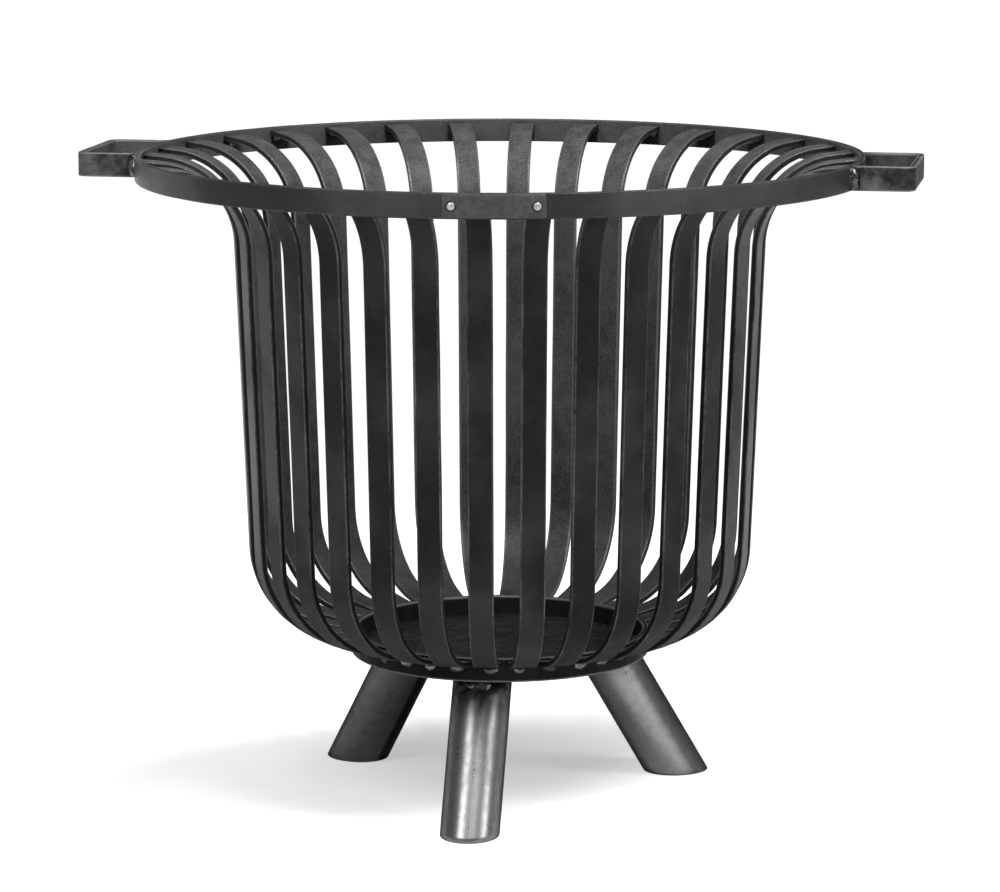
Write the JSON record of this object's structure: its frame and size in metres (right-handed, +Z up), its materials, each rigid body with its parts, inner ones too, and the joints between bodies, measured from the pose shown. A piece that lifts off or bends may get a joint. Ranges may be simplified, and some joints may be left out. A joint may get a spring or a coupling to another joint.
{
  "type": "fire basket",
  "caption": "Round welded steel fire basket of bent flat-bar staves between a wide rim hoop and a small base hoop, with two fixed handles and three splayed tube legs.",
  "frame": {"origin": "on the ground under the middle of the basket", "axes": "+Z up, +X to the right-hand handle, -Y to the front leg and the name plate"},
  "size_m": [0.69, 0.6021, 0.536],
  "materials": {
    "blackened_steel": "satin",
    "bare_tube": "satin",
    "plate_sheet": "satin",
    "bright_rivet": "polished"
  },
  "bodies": {
    "root": {"base_hoop": "blackened_steel", "base_plate": "blackened_steel", "handle_left": "blackened_steel", "handle_right": "blackened_steel", "leg_front": "bare_tube", "leg_left": "bare_tube", "leg_right": "bare_tube", "name_plate": "plate_sheet", "plate_rivets": "bright_rivet", "rim_hoop": "blackened_steel", "stave_01": "blackened_steel", "stave_02": "blackened_steel", "stave_03": "blackened_steel", "stave_04": "blackened_steel", "stave_05": "blackened_steel", "stave_06": "blackened_steel", "stave_07": "blackened_steel", "stave_08": "blackened_steel", "stave_09": "blackened_steel", "stave_10": "blackened_steel", "stave_11": "blackened_steel", "stave_12": "blackened_steel", "stave_13": "blackened_steel", "stave_14": "blackened_steel", "stave_15": "blackened_steel", "stave_16": "blackened_steel", "stave_17": "blackened_steel", "stave_18": "blackened_steel", "stave_19": "blackened_steel", "stave_20": "blackened_steel", "stave_21": "blackened_steel", "stave_22": "blackened_steel", "stave_23": "blackened_steel", "stave_24": "blackened_steel", "stave_25": "blackened_steel", "stave_26": "blackened_steel", "stave_27": "blackened_steel", "stave_28": "blackened_steel", "stave_29": "blackened_steel", "stave_30": "blackened_steel", "stave_31": "blackened_steel", "stave_32": "blackened_steel"}
  },
  "joints": []
}
